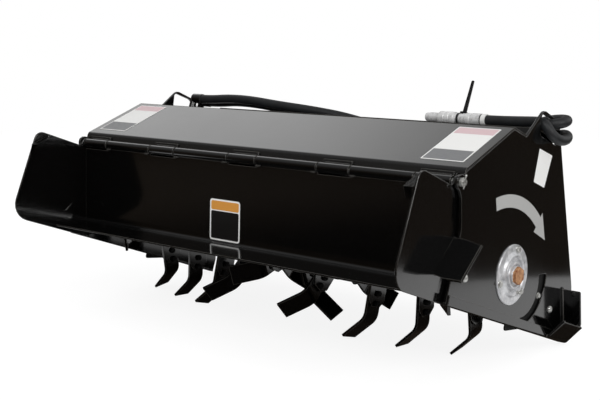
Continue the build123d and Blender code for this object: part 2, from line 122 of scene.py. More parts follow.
def blackEnamel(name, dustShare):
    material, tree = newMaterial(name)
    where = place(tree)
    peel = addNode(tree, "ShaderNodeTexNoise", Vector=where, Scale=enamel["peel"], Detail=2.0)
    patches = addNode(tree, "ShaderNodeTexNoise", Vector=where, Scale=enamel["patches"], Detail=4.0)
    specks = addNode(tree, "ShaderNodeTexNoise", Vector=where, Scale=enamel["dustGrain"], Detail=1.0)
    dust = addNode(tree, "ShaderNodeMapRange", Value=specks.outputs["Fac"], i1=enamel["dustFrom"] - dustShare,
                   i2=enamel["dustTo"] - dustShare)
    dusty = addNode(tree, "ShaderNodeMath", {"operation": "MULTIPLY"}, i0=dust.outputs["Result"],
                    i1=patches.outputs["Fac"])
    rounded = addNode(tree, "ShaderNodeBevel", {"samples": 6}, Radius=enamel["edgeRadius"])
    flat = addNode(tree, "ShaderNodeNewGeometry").outputs["Normal"]
    same = addNode(tree, "ShaderNodeVectorMath", {"operation": "DOT_PRODUCT"}, i0=rounded.outputs["Normal"], i1=flat)
    # rims lightened towards the edge colour: partly worn, thinned film and partly a painted highlight
    edge = addNode(tree, "ShaderNodeMapRange", Value=same.outputs["Value"], i1=enamel["edgeWearAndHighlightFrom"],
                   i2=enamel["edgeWearAndHighlightTo"], i3=0.0, i4=enamel["edgeWearAndHighlightShare"])
    tone = addNode(tree, "ShaderNodeMix", {"data_type": "RGBA"}, Factor=dusty.outputs[0], i6=srgb(enamel["black"]),
                   i7=srgb(enamel["dust"]))
    tone = addNode(tree, "ShaderNodeMix", {"data_type": "RGBA"}, Factor=edge.outputs["Result"],
                   i6=tone.outputs[2], i7=srgb(enamel["edge"]))
    gloss = addNode(tree, "ShaderNodeMapRange", Value=patches.outputs["Fac"], i1=0.3, i2=0.7,
                    i3=enamel["roughness"] * enamel["smooth"], i4=enamel["roughness"] * enamel["dull"])
    relief = addNode(tree, "ShaderNodeBump", Strength=enamel["relief"], Distance=grainDepth,
                     Height=peel.outputs["Fac"], Normal=rounded.outputs["Normal"])
    finishMaterial(tree, Base_Color=tone.outputs[2], Roughness=gloss.outputs["Result"], Normal=relief.outputs["Normal"],
                   Coat_Weight=enamel["coat"], Coat_Roughness=enamel["coatRoughness"])
    return material


metalSkin = {"fineness": 9, "smooth": 0.75, "dull": 1.25, "relief": 0.2}   # the grain is 9 times as fine as the mottle


def steel(name, dark, light, roughness, grain, metallic):
    # bare, plated or rusted metal: mottled tone and sheen over a fine grain
    material, tree = newMaterial(name)
    where = place(tree)
    spots = addNode(tree, "ShaderNodeTexNoise", Vector=where, Scale=grain, Detail=5.0)
    fine = addNode(tree, "ShaderNodeTexNoise", Vector=where, Scale=grain * metalSkin["fineness"], Detail=2.0)
    mottle = addNode(tree, "ShaderNodeMapRange", Value=spots.outputs["Fac"], i1=0.3, i2=0.7)
    tone = addNode(tree, "ShaderNodeMix", {"data_type": "RGBA"}, Factor=mottle.outputs["Result"], i6=srgb(dark),
                   i7=srgb(light))
    gloss = addNode(tree, "ShaderNodeMapRange", Value=spots.outputs["Fac"], i1=0.3, i2=0.7,
                    i3=roughness * metalSkin["smooth"], i4=roughness * metalSkin["dull"])
    relief = addNode(tree, "ShaderNodeBump", Strength=metalSkin["relief"], Distance=grainDepth,
                     Height=fine.outputs["Fac"])
    finishMaterial(tree, Base_Color=tone.outputs[2], Metallic=metallic, Roughness=gloss.outputs["Result"],
                   Normal=relief.outputs["Normal"])
    return material


plasticSkin = {"scuffs": 90.0, "stretch": (1, 6, 6), "smooth": 0.3, "dull": 0.5}


def plastic(name, colour):
    # label film or moulded nylon: flat colour with a faint satin sheen and fine scuffs
    material, tree = newMaterial(name)
    scuffs = addNode(tree, "ShaderNodeTexNoise", Vector=place(tree, plasticSkin["stretch"]),
                     Scale=plasticSkin["scuffs"], Detail=3.0)
    gloss = addNode(tree, "ShaderNodeMapRange", Value=scuffs.outputs["Fac"], i1=0.4, i2=0.7,
                    i3=plasticSkin["smooth"], i4=plasticSkin["dull"])
    finishMaterial(tree, Base_Color=srgb(colour), Roughness=gloss.outputs["Result"])
    return material


plateEnamel = blackEnamel("plateEnamel", 0.0)
hoodEnamel = blackEnamel("hoodEnamel", 0.05)          # the top gathers more dust
castZinc = steel("castZinc", "b4b5b8", "f0f0f2", 0.36, 55, 0.5)   # dull galvanised casting, spangles of 18 mm
platedZinc = steel("platedZinc", "a9a9a6", "e6e6e2", 0.3, 60, 0.7)   # bright zinc plate on fasteners
turnedSteel = steel("turnedSteel", "d4d4d4", "fafafa", 0.3, 70, 0.25)   # lathe-turned and plated, almost white
oxideSteelAndSlotShade = steel("oxideSteelAndSlotShade", "060606", "121211", 0.8, 80, 0.0)   # black oxide on fasteners, and near-black on the plate behind the rotor slot as painted shade
rustedSteel = steel("rustedSteel", "8a4a22", "dfae80", 0.5, 90, 0.35)   # light orange rust on a bare head
whiteVinyl = plastic("whiteVinyl", "f6f6f4")
pinkVinyl = plastic("pinkVinyl", "dfc2c6")
greyVinyl = plastic("greyVinyl", "77787a")
orangeVinyl = plastic("orangeVinyl", "e09a40")
blackVinyl = plastic("blackVinyl", "151515")
silverVinyl = plastic("silverVinyl", "b4b4b2")
whiteNylon = plastic("whiteNylon", "f0f0ee")          # the ring on each quick coupler, moulded
blackNylon = plastic("blackNylon", "0c0c0d")          # the cable tie and the couplers' collars

# woven-cover hydraulic hose: matt black rubber with the weave just showing, 2 mm threads drawn coarse
rubber = {"black": "0b0c0d", "scuffed": "2a2c2f", "roughness": 0.5, "weave": 500.0, "scuffs": 30.0, "relief": 0.35}
hoseRubber, tree = newMaterial("hoseRubber")
weave = addNode(tree, "ShaderNodeTexNoise", Vector=place(tree), Scale=rubber["weave"], Detail=2.0)
scuff = addNode(tree, "ShaderNodeTexNoise", Vector=place(tree), Scale=rubber["scuffs"], Detail=3.0)
tone = addNode(tree, "ShaderNodeMix", {"data_type": "RGBA"}, Factor=scuff.outputs["Fac"], i6=srgb(rubber["black"]),
               i7=srgb(rubber["scuffed"]))
relief = addNode(tree, "ShaderNodeBump", Strength=rubber["relief"], Distance=grainDepth, Height=weave.outputs["Fac"])
finishMaterial(tree, Base_Color=tone.outputs[2], Roughness=rubber["roughness"], Normal=relief.outputs["Normal"])

slotMaterial = {"black_paint": plateEnamel, "galvanised": castZinc, "zinc_steel": platedZinc,
                "bright_steel": turnedSteel, "rusty_steel": rustedSteel, "hose_rubber": hoseRubber}
nodeMaterial = {"hood_panel": hoodEnamel, "fitting_supply": plateEnamel, "fitting_return": plateEnamel}
for part in frame["record"]["subparts"]:
    slots = nodes[part["node"]].data.materials
    slots.clear()
    slots.append(nodeMaterial.get(part["node"], slotMaterial[part["material_slot"]]))
print("materials done")


def addPiece(name, bm, rides, materials):
    bmesh.ops.recalc_face_normals(bm, faces=bm.faces)
    mesh = bpy.data.meshes.new(name)
    bm.to_mesh(mesh)
    bm.free()
    for material in materials:
        mesh.materials.append(material)
    piece = bpy.data.objects.new(name, mesh)
    scene.collection.objects.link(piece)
    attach(piece, rides)
    return piece


def facing(origin, along, up):
    # draw flat on a surface: X along it, Y up it, Z out of it
    along = Vector(along).normalized()
    up = Vector(up).normalized()
    turn = Matrix((along, up, along.cross(up))).transposed().to_4x4()
    return toWorld @ Matrix.Translation(origin) @ turn


def addPlate(bm, where, low, high, corner=0.0, material=0):
    # a thin plate between two corners in millimetres, its upright edges rounded
    size = [b - a for a, b in zip(low, high)]
    middle = [(a + b) / 2 for a, b in zip(low, high)]
    shape = Matrix.Translation(middle) @ Matrix.Diagonal((*size, 1))
    made = bmesh.ops.create_cube(bm, size=1, matrix=shape)
    verts = made["verts"]
    if corner:
        edges = {e for v in verts for e in v.link_edges if abs(e.verts[0].co.z - e.verts[1].co.z) > size[2] / 2}
        arcs = bmesh.ops.bevel(bm, geom=list(edges), offset=corner, segments=4, profile=0.5, affect="EDGES",
                               material=-1)
        verts = list({v for f in arcs["faces"] for v in f.verts} | {v for v in verts if v.is_valid})
    faces = {f for v in verts for f in v.link_faces}
    for face in faces:
        face.material_index = material
    bmesh.ops.transform(bm, matrix=where, verts=list({v for f in faces for v in f.verts}))


def addTurned(bm, where, radius, top, depth, sides=24, material=0):
    # a disc, cone or prism standing on the surface
    made = bmesh.ops.create_cone(bm, cap_ends=True, segments=sides, radius1=radius, radius2=top, depth=depth,
                                 matrix=where @ Matrix.Translation((0, 0, depth / 2)))
    for face in {f for v in made["verts"] for f in v.link_faces}:
        face.material_index = material


# washer, hex head and the chamfer on its top: low and high radius, height and start in shares of the head's, sides
boltForm = ((1.35, 1.3, 0.2, 0, 16), (1, 1, 0.65, 0.2, 6), (0.96, 0.8, 0.15, 0.85, 6))


def addBolt(bm, where, radius, height, material=0):
    for low, high, tall, start, sides in boltForm:
        addTurned(bm, where @ Matrix.Translation((0, 0, height * start)), radius * low, radius * high, height * tall,
                  sides, material)


def addDome(bm, where, radius, height, sides=16):
    # a round head or weld ripple, half of it under the surface
    made = bmesh.ops.create_uvsphere(bm, u_segments=sides, v_segments=sides // 2, radius=1,
                                     matrix=where @ Matrix.Diagonal((radius, radius, height, 1)))
    for face in {f for v in made["verts"] for f in v.link_faces}:
        face.smooth = True


def roundCorner(bm, vert, reach):
    # rounds a flat corner, starting this far from it along both its edges
    bmesh.ops.bevel(bm, geom=[vert], offset=reach, offset_type="OFFSET", segments=6, profile=0.5, affect="VERTICES",
                    material=-1)


sharp = {"slotEnd": 2, "rim": 1.2}      # angles in radians


def cutPlate(corners, holes, sheet, edge, slots=()):
    # plate of this thickness: corners are (across, up, rounding), holes the same; slots follow an arc and narrow
    # towards one end
    bm = bmesh.new()
    for outline in (corners, *holes):
        verts = [bm.verts.new((a, b, 0)) for a, b, rounding in outline]
        bm.faces.new(verts)
        for vert, (a, b, rounding) in zip(verts, outline):
            if rounding:
                roundCorner(bm, vert, rounding)
    for slot in slots:
        others = set(bm.faces)
        across, up = slot["centre"]
        ends = [bm.verts.new((across + reach, up, 0)) for reach in (slot["inner"], slot["outer"])]
        bmesh.ops.rotate(bm, cent=(across, up, 0), verts=ends,
                         matrix=Matrix.Rotation(math.radians(slot["start"]), 3, "Z"))
        bmesh.ops.spin(bm, geom=[*ends, bm.edges.new(ends)], cent=(across, up, 0), axis=(0, 0, 1),
                       angle=math.radians(slot["sweep"]), steps=slot["steps"])
        bmesh.ops.dissolve_faces(bm, faces=[f for f in bm.faces if f not in others])
        made = next(f for f in bm.faces if f not in others)
        low, high = (pick(vert.co.y for vert in made.verts) for pick in (min, max))
        for vert in made.verts:
            away = vert.co - Vector((across, up, 0))
            if away.length < (slot["inner"] + slot["outer"]) / 2:
                thinning = (high - vert.co.y) / (high - low) * (slot["tip"] - slot["inner"])
                vert.co += away.normalized() * thinning
        for vert in [loop.vert for loop in made.loops if loop.calc_angle() < sharp["slotEnd"]]:
            roundCorner(bm, vert, slot["round"])
    if holes or slots:
        bmesh.ops.delete(bm, geom=bm.faces[:], context="FACES_ONLY")
        bmesh.ops.triangle_fill(bm, use_beauty=True, edges=bm.edges[:])
    raised = bmesh.ops.extrude_face_region(bm, geom=bm.faces[:], use_keep_orig=True)["geom"]
    bmesh.ops.translate(bm, vec=(0, 0, sheet), verts=[v for v in raised if isinstance(v, bmesh.types.BMVert)])
    bmesh.ops.recalc_face_normals(bm, faces=bm.faces)
    rims = [e for e in bm.edges if len(e.link_faces) == 2 and e.calc_face_angle() > sharp["rim"]
            and abs(e.verts[0].co.z - e.verts[1].co.z) < sheet / 2]
    bmesh.ops.bevel(bm, geom=rims, offset=edge, segments=2, profile=0.5, affect="EDGES", material=-1)
    return bm


bead = {"pitch": 0.8, "sides": 8}       # the ripples' pitch in radii


def addBead(bm, where, start, end, radius):
    # weld: a row of overlapping ripples
    start, end = Vector(start), Vector(end)
    count = max(2, int((end - start).length / (bead["pitch"] * radius)))
    for i in range(count + 1):
        addDome(bm, where @ Matrix.Translation(start.lerp(end, i / count)), radius, radius, bead["sides"])


rightSide = facing((body["half"], 0, 0), (0, 1, 0), (0, 0, 1))
leftSide = facing((-body["half"], 0, 0), (0, -1, 0), (0, 0, 1))

# hoses: out of the motor, along behind the beam, round the ear and back in through its window; each follows a
# smooth line of this order through its route
hoses = {
    "diameter": 0.030, "order": 3, "alongSteps": 8, "roundSteps": 6,
    "supply": {"length": 1.68, "route": [
        (-613, 22, 443), (-562, 22, 443), (-490, 23, 450), (-390, 26, 450), (-265, 36, 440),
        (-130, 66, 437), (-15, 105, 432), (125, 113, 404), (270, 112, 395), (430, 112, 396.5),
        (550, 112, 405), (625, 112, 437), (680, 112, 462), (724, 112, 468), (745, 104, 465),
        (757, 84, 457), (759, 62, 446), (749, 48, 437.5), (728, 43.5, 431.5), (696, 53, 430),
        (640, 63, 430), (570, 66, 428.8), (520, 66, 428.8)]},
    "return": {"length": 1.75, "route": [
        (-613, 62, 443), (-562, 62, 443), (-480, 65, 452), (-380, 74, 450), (-280, 90, 441),
        (-180, 109, 428), (-60, 114, 393), (80, 112, 364), (255, 113, 362), (430, 113, 363),
        (560, 116, 367), (630, 123, 385), (690, 131, 418), (722, 136, 431), (744, 128, 428),
        (757, 106, 413), (763, 78, 399), (761, 46, 391), (749, 23, 400), (738, 13.5, 418),
        (717, 12.5, 430), (680, 17, 430.5), (625, 23, 430), (570, 24, 428.8), (520, 24, 428.8)]},
}
# quick coupler: distance from the hose's end and radius, round its profile
coupler = {"profile": [(-4, 15.2), (-4, 18.2), (24, 18.2), (26, 16.4), (29, 16.4), (31, 18), (44, 18), (46, 16.4),
                       (56, 16.2), (58, 14.8), (81, 14.8), (81, 18), (84, 19), (96, 19), (97, 17.8), (99, 17.8),
                       (100, 19), (112, 19), (113, 17.8), (115, 17.8), (116, 19), (133, 19), (136, 17), (136, 13.6),
                       (150, 13.6), (152, 14), (170, 14), (172, 12.6), (180, 12.6), (182, 11.5), (182, 7), (170, 7)],
           "sides": 28, "rings": [(-22, -8, 17.6, 1), (-8, 0, 17, 2)]}
# cable tie: its lock and the tail that stands up
tie = {"foot": (450, 46, 447), "tail": [(-7, 0, 0), (7, 0, 0), (10.5, 105, 3), (1.5, 105, 3)], "sheet": 3, "edge": 0.6,
       "lock": ((-10, -14, -5), (10, 8, 10)), "lockCorner": 2}
bm = cutPlate(tie["tail"], [], tie["sheet"], tie["edge"])
addPlate(bm, Matrix.Identity(4), *tie["lock"], tie["lockCorner"])
bmesh.ops.transform(bm, matrix=facing(tie["foot"], (1, 0, 0), (0, 0, 1)), verts=bm.verts)
tieTail = addPiece("tie_tail", bm, "frame", [blackNylon])
for name in ("supply", "return"):
    hose = hoses[name]
    x, y, z = hose["route"][-1]
    bm = bmesh.new()
    rim = [bm.verts.new((x - along, y + radius, z)) for along, radius in coupler["profile"]]
    line = [bm.edges.new(pair) for pair in zip(rim, rim[1:])]
    bmesh.ops.spin(bm, geom=rim + line, cent=(x, y, z), axis=(1, 0, 0), angle=2 * math.pi, steps=coupler["sides"],
                   use_merge=True)
    bmesh.ops.remove_doubles(bm, verts=bm.verts, dist=merge)
    bmesh.ops.holes_fill(bm, edges=[e for e in bm.edges if e.is_boundary], sides=coupler["sides"])
    for first, last, radius, index in coupler["rings"]:
        addTurned(bm, Matrix.Translation((x - last, y, z)) @ Matrix.Rotation(math.pi / 2, 4, "Y"), radius, radius,
                  last - first, coupler["sides"], index)
    bmesh.ops.transform(bm, matrix=toWorld, verts=bm.verts)
    quick = addPiece(f"turned_coupler_{name}", bm, "frame", [turnedSteel, whiteNylon, blackNylon])
    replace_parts(quick, f"quick_coupler_{name}")

    curve = bpy.data.curves.new(f"hose_{name}_skin", "CURVE")
    curve.dimensions = "3D"
    spline = curve.splines.new("NURBS")
    spline.points.add(len(hose["route"]) - 1)
    for point, spot in zip(spline.points, hose["route"]):
        point.co = (*(toWorld @ Vector(spot)), 1)
    spline.order_u = hoses["order"]
    spline.use_endpoint_u = True
    spline.resolution_u = hoses["alongSteps"]
    curve.bevel_depth = hoses["diameter"] / 2
    curve.bevel_resolution = hoses["roundSteps"]
    curve.materials.append(hoseRubber)
    skin = bpy.data.objects.new(f"hose_{name}_skin", curve)
    scene.collection.objects.link(skin)
    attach(skin, "frame")
    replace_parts(skin, f"hose_{name}")
print("hoses done")

# blank labels: colour bands and borders, no words; film and ink say how high the sheet and its colours stand
hood = {"bend": (-336, 204), "ridge": (-146, 366), "skin": 2.9}
slope = facing((0, hood["bend"][0], hood["bend"][1]), (1, 0, 0),
               (0, hood["ridge"][0] - hood["bend"][0], hood["ridge"][1] - hood["bend"][1]))
hoodLabels = {"right": (574, 703), "left": (-706, -580), "low": 30, "high": 230, "corner": 3, "border": 4,
              "band": 40, "block": 62, "film": 0.4, "ink": 0.6}
low, high, border = hoodLabels["low"], hoodLabels["high"], hoodLabels["border"]
base = hood["skin"]
film, ink = base + hoodLabels["film"], base + hoodLabels["ink"]
for side in ("right", "left"):
    x0, x1 = hoodLabels[side]
    bm = bmesh.new()
    addPlate(bm, slope, (x0, low, base), (x1, high, film), hoodLabels["corner"])
    addPlate(bm, slope, (x0 + border, high - hoodLabels["band"], base), (x1 - border, high - border, ink), 0, 1)
    addPlate(bm, slope, (x0 + border, low + border, base), (x1 - border, low + hoodLabels["block"], ink), 0, 2)
    addPiece(f"hood_label_{side}", bm, "frame", [whiteVinyl, pinkVinyl, greyVinyl])

door = {"crease": (-268, -77), "skin": 2.9}
doorFace = facing((0, *body["hinge"]), (1, 0, 0),
                  (0, body["hinge"][0] - door["crease"][0], body["hinge"][1] - door["crease"][1]))
doorLabel = {"x": (-128, -6), "down": (126, 249), "corner": 9, "border": 5, "band": 30, "gap": 3, "bandCorner": 5,
             "film": 0.4, "ink": 0.6}
x0, x1 = doorLabel["x"]
top, bottom = (-down for down in doorLabel["down"])
border, bandCorner, base = doorLabel["border"], doorLabel["bandCorner"], door["skin"]
film, ink = base + doorLabel["film"], base + doorLabel["ink"]
bandLow = top - border - doorLabel["band"]
bm = bmesh.new()
addPlate(bm, doorFace, (x0, bottom, base), (x1, top, film), doorLabel["corner"])
addPlate(bm, doorFace, (x0 + border, bottom + border, base), (x1 - border, bandLow, ink), bandCorner, 1)
addPlate(bm, doorFace, (x0 + border, bandLow + doorLabel["gap"], base), (x1 - border, top - border, ink), bandCorner, 2)
addPiece("door_label", bm, "door", [whiteVinyl, blackVinyl, orangeVinyl])

sideTag = {"corners": [(16, 262), (81, 262), (91, 357), (11, 355)], "off": 0.1, "film": 0.5}
bm = bmesh.new()
face = bm.faces.new([bm.verts.new((y, z, sideTag["off"])) for y, z in sideTag["corners"]])
raised = bmesh.ops.extrude_face_region(bm, geom=[face])["geom"]
bmesh.ops.translate(bm, vec=(0, 0, sideTag["film"]), verts=[v for v in raised if isinstance(v, bmesh.types.BMVert)])
bmesh.ops.transform(bm, matrix=rightSide, verts=bm.verts)
addPiece("side_tag", bm, "frame", [whiteVinyl])

# curved arrow that shows which way the rotor turns
arrow = {"centre": (-26, -81), "inner": 254, "outer": 289, "start": 119, "end": 65, "tip": 50, "head": (238, 304),
         "steps": 20, "off": 0.1, "film": 0.5}
middleY, middleZ = arrow["centre"]


def onArrow(bm, radius, degrees):
    angle = math.radians(degrees)
    return bm.verts.new((middleY + radius * math.cos(angle), middleZ + radius * math.sin(angle), arrow["off"]))


bm = bmesh.new()
edge = bm.edges.new((onArrow(bm, arrow["inner"], arrow["start"]), onArrow(bm, arrow["outer"], arrow["start"])))
bmesh.ops.spin(bm, geom=[edge, *edge.verts], cent=(middleY, middleZ, 0), axis=(0, 0, 1),
               angle=math.radians(arrow["end"] - arrow["start"]), steps=arrow["steps"])
tipReach = (arrow["inner"] + arrow["outer"]) / 2
bm.faces.new([onArrow(bm, arrow["head"][0], arrow["end"]), onArrow(bm, tipReach, arrow["tip"]),
              onArrow(bm, arrow["head"][1], arrow["end"])])
raised = bmesh.ops.extrude_face_region(bm, geom=bm.faces[:])["geom"]
bmesh.ops.translate(bm, vec=(0, 0, arrow["film"]), verts=[v for v in raised if isinstance(v, bmesh.types.BMVert)])
bmesh.ops.transform(bm, matrix=rightSide, verts=bm.verts)
addPiece("turning_arrow", bm, "frame", [silverVinyl])
print("labels done")

# the door's wings: flame-cut plate with its front corners rounded, stiffened by a bent brace in the top corner
wing = {"inside": 711, "sheet": 6, "edge": 1.2,
        "corners": [(-538, 154, 26), (-368, 154, 8), (-358, 183, 9), (-338, 183, 9), (-328, 160, 6), (-256, -81, 0),
                    (-264, -128, 0), (-300, -132, 0), (-549, -132, 58)],
        "brace": [(-500, 148, 22), (-545, 106, 28), (-541, 78, 16)], "braceSheet": 4, "braceEdge": 1,
        "splayFrom": -330, "splay": 0.073}


def splayOut(bm, sign):
    # ahead of the hinge a wing leans outwards, past the end plate
    bmesh.ops.bisect_plane(bm, geom=bm.verts[:] + bm.edges[:] + bm.faces[:], plane_co=(sign * wing["splayFrom"], 0, 0),
                           plane_no=(1, 0, 0), dist=merge)
    for vert in bm.verts:
        vert.co.z += wing["splay"] * max(0, wing["splayFrom"] - sign * vert.co.x)


for name, sign in (("right", 1), ("left", -1)):
    where = facing((sign * wing["inside"], 0, 0), (0, sign, 0), (0, 0, 1))
    bm = cutPlate([(sign * y, z, rounding) for y, z, rounding in wing["corners"]], [], wing["sheet"], wing["edge"])
    splayOut(bm, sign)
    bmesh.ops.transform(bm, matrix=where, verts=bm.verts)
    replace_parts(addPiece(f"wing_plate_{name}", bm, "door", [plateEnamel]), f"door_wing_{name}")

    bm = bmesh.new()
    onWing = [bm.verts.new((sign * y, z, 0)) for y, z, reach in wing["brace"]]
    free = [bm.verts.new((sign * y, z, -reach)) for y, z, reach in wing["brace"]]
    for i in range(len(onWing) - 1):
        bm.faces.new((onWing[i], onWing[i + 1], free[i + 1], free[i]))
    bmesh.ops.solidify(bm, geom=bm.faces[:], thickness=wing["braceSheet"])
    bmesh.ops.bevel(bm, geom=bm.edges[:], offset=wing["braceEdge"], segments=1, profile=0.5, affect="EDGES",
                    material=-1)
    splayOut(bm, sign)
    bmesh.ops.transform(bm, matrix=where, verts=bm.verts)
    addPiece(f"wing_brace_{name}", bm, "door", [hoodEnamel])

# end plates: profile-cut, with the hoses' window in the ear and the curved slot that sets the rotor
endPlate = {"inside": 722, "sheet": 8, "edge": 1.2,
            "corners": [(-300, -127, 0), (-300, 60, 8), (-333, 135, 6), (-345, 146, 0), (-366, 154, 9),
                        (-369, 178, 9), (-349, 189, 4), (-333, 186, 0), (-333, 200, 0), (-145, 363, 0),
                        (-74, 363, 5), (-6, 460, 14), (94, 456, 22), (380, 35, 12), (391, 8, 6), (391, -127, 0)],
            "window": [(-14, 449, 12), (76, 449, 18), (110, 389, 16), (-2, 389, 12)],
            "slot": {"centre": (75, 4), "inner": 82, "tip": 122, "outer": 131, "start": -78, "sweep": 94, "steps": 16,
                     "round": 4},
            "slotShadePlate": [(40, -150, 10), (40, 60, 10), (200, 150, 10), (240, 60, 10), (225, -110, 10)],
            "slotShadeSheet": 5, "slotShadeGap": 0.3, "slideBolt": (192, -26, 7, 6)}
for name, sign in (("right", 1), ("left", -1)):
    where = facing((sign * endPlate["inside"], 0, 0), (0, sign, 0), (0, 0, 1))
    corners = [(sign * y, z, rounding) for y, z, rounding in endPlate["corners"]]
    hole = [(sign * y, z, rounding) for y, z, rounding in endPlate["window"]]
    slot = dict(endPlate["slot"], centre=(sign * endPlate["slot"]["centre"][0], endPlate["slot"]["centre"][1]))
    if sign < 0:
        slot["start"] = 180 - slot["start"] - slot["sweep"]
    bm = cutPlate(corners, [hole], endPlate["sheet"], endPlate["edge"], [slot])
    bmesh.ops.transform(bm, matrix=where, verts=bm.verts)
    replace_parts(addPiece(f"cut_end_plate_{name}", bm, "frame", [plateEnamel]), f"end_plate_{name}")

    # a near-black plate just inside the rotor slot, painted shade that keeps the slot's inside dark; the slot's bolt
    # sits on it
    inner = [(sign * y, z, rounding) for y, z, rounding in endPlate["slotShadePlate"]]
    bm = cutPlate(inner, [], endPlate["slotShadeSheet"], endPlate["edge"])
    bmesh.ops.translate(bm, vec=(0, 0, -endPlate["slotShadeSheet"] - endPlate["slotShadeGap"]), verts=bm.verts)
    y, z, radius, height = endPlate["slideBolt"]
    addBolt(bm, Matrix.Translation((sign * y, z, 0)), radius, height, 1)
    bmesh.ops.transform(bm, matrix=where, verts=bm.verts)
    addPiece(f"slot_shade_plate_{name}", bm, "frame", [oxideSteelAndSlotShade, platedZinc])

# skid shoes: a channel folded round the plate's lower edge, with an upright rear flange on a bent-up floor
shoe = {"edge": 1.5, "front": -300, "rear": 391, "sheet": 6, "inside": 715.7,
        "channel": [(716, -133, 0), (736.3, -133, 4), (736.3, -106, 0), (730.3, -106, 0), (730.3, -127, 0),
                    (716, -127, 0)],
        "innerWall": [(-238, -133, 0), (-238, -73, 10), (-218, -29, 14), (331, -29, 14), (391, -73, 14),
                      (391, -133, 0)],
        "flange": [(0.3, 0, 0), (58, 0, 5), (58, -102, 3), (22, -149, 0), (0.3, -149, 0)], "flangeTop": (323, 18),
        "flangeRun": (68, -133),
        "floor": [(730.3, -133, 0), (742, -133, 6), (783, -80, 0), (777, -75, 0), (739, -125, 4), (730.3, -125, 0)],
        "floorLong": 121, "weld": 5, "weldOff": (1, -4), "weldShare": 0.98}
for name, sign in (("right", 1), ("left", -1)):
    pieces = []
    rearEnd = facing((0, shoe["rear"], 0), (1, 0, 0), (0, 0, 1))
    pieces.append((cutPlate(shoe["channel"], [], shoe["rear"] - shoe["front"], shoe["edge"]), rearEnd))
    pieces.append((cutPlate(shoe["floor"], [], shoe["floorLong"], shoe["edge"]), rearEnd))
    pieces.append((cutPlate(shoe["innerWall"], [], shoe["sheet"], shoe["edge"]),
                   facing((shoe["inside"], 0, 0), (0, 1, 0), (0, 0, 1))))
    top, run = shoe["flangeTop"], shoe["flangeRun"]
    pieces.append((cutPlate(shoe["flange"], [], shoe["sheet"], shoe["edge"]),
                   facing((body["half"], *top), (1, 0, 0), (0, -run[0], -run[1]))))
    bm = bmesh.new()
    for piece, where in pieces:
        bmesh.ops.transform(piece, matrix=where, verts=piece.verts)
        part = bpy.data.meshes.new("shoePart")
        piece.to_mesh(part)
        piece.free()
        bm.from_mesh(part)
        bpy.data.meshes.remove(part)
    x, y, z = body["half"] + shoe["weldOff"][0], top[0] + shoe["weldOff"][1], top[1]
    addBead(bm, toWorld, (x, y, z), (x, y + run[0] * shoe["weldShare"], z + run[1] * shoe["weldShare"]), shoe["weld"])
    if sign < 0:
        bmesh.ops.scale(bm, vec=(-1, 1, 1), verts=bm.verts)
    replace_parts(addPiece(f"folded_shoe_{name}", bm, "frame", [plateEnamel]), f"skid_shoe_{name}")
print("plates cut")

# flange bearing: pressed plate housing, turned ring, seal and bolt heads, with its grease nipple
bearing = {"profile": [(0, 0), (82.5, 0), (82.5, 2.5), (81, 4.2), (64, 4.6), (61, 6), (56, 10.5), (54, 11.5),
                       (50, 11.5), (48, 9), (46, 4.5), (40, 4), (38, 6), (36, 12.5), (34, 13), (31, 13), (29, 8),
                       (26, 8), (25, 15), (24, 16), (0, 16)],
           "sides": 48, "bolts": (91, 211, 331), "circle": 70, "rim": 4.4, "head": (8, 6)}
nipple = {"angle": 306, "reach": 52, "up": 8, "hex": (5.5, 6), "neck": (2.6, 4), "ball": (3.4, 3), "ballUp": 11}
bm = bmesh.new()
rim = [bm.verts.new((reach, 0, height)) for reach, height in bearing["profile"]]
bmesh.ops.spin(bm, geom=rim + [bm.edges.new(pair) for pair in zip(rim, rim[1:])], cent=(0, 0, 0), axis=(0, 0, 1),
               angle=2 * math.pi, steps=bearing["sides"], use_merge=True)
bmesh.ops.remove_doubles(bm, verts=bm.verts, dist=merge)
bmesh.ops.transform(bm, matrix=rightSide, verts=bm.verts)
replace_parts(addPiece("pressed_bearing", bm, "frame", [castZinc]), "bearing_right")


def onCircle(radius, degrees, up=0, ahead=0):
    # a spot on a circle that lies in the drawn flat
    angle = math.radians(degrees)
    return Matrix.Translation((radius * math.cos(angle), ahead + radius * math.sin(angle), up))


bm = bmesh.new()
for degrees in bearing["bolts"]:
    addBolt(bm, rightSide @ onCircle(bearing["circle"], degrees, bearing["rim"]), *bearing["head"])
spot = rightSide @ onCircle(nipple["reach"], nipple["angle"], nipple["up"])
radius, height = nipple["hex"]
addTurned(bm, spot, radius, radius, height, 6)
radius, neckHeight = nipple["neck"]
addTurned(bm, spot @ Matrix.Translation((0, 0, height)), radius, radius, neckHeight, 10)
addDome(bm, spot @ Matrix.Translation((0, 0, nipple["ballUp"])), *nipple["ball"])
addPiece("bearing_bolts", bm, "frame", [platedZinc])

# the shoes' carriage bolts: domed heads outside, nuts inside
shoeBolts = {"places": (-236, 266), "height": -53, "radius": 11, "dome": 7, "nut": (10, 9), "inside": 14.5}
bm = bmesh.new()
for side, sign in ((rightSide, 1), (leftSide, -1)):
    for y in shoeBolts["places"]:
        addDome(bm, side @ Matrix.Translation((sign * y, shoeBolts["height"], 0)), shoeBolts["radius"],
                shoeBolts["dome"])
        inward = side @ Matrix.Translation((sign * y, shoeBolts["height"], -shoeBolts["inside"]))
        addBolt(bm, inward @ Matrix.Rotation(math.pi, 4, "X"), *shoeBolts["nut"])
addPiece("shoe_bolts", bm, "frame", [platedZinc])

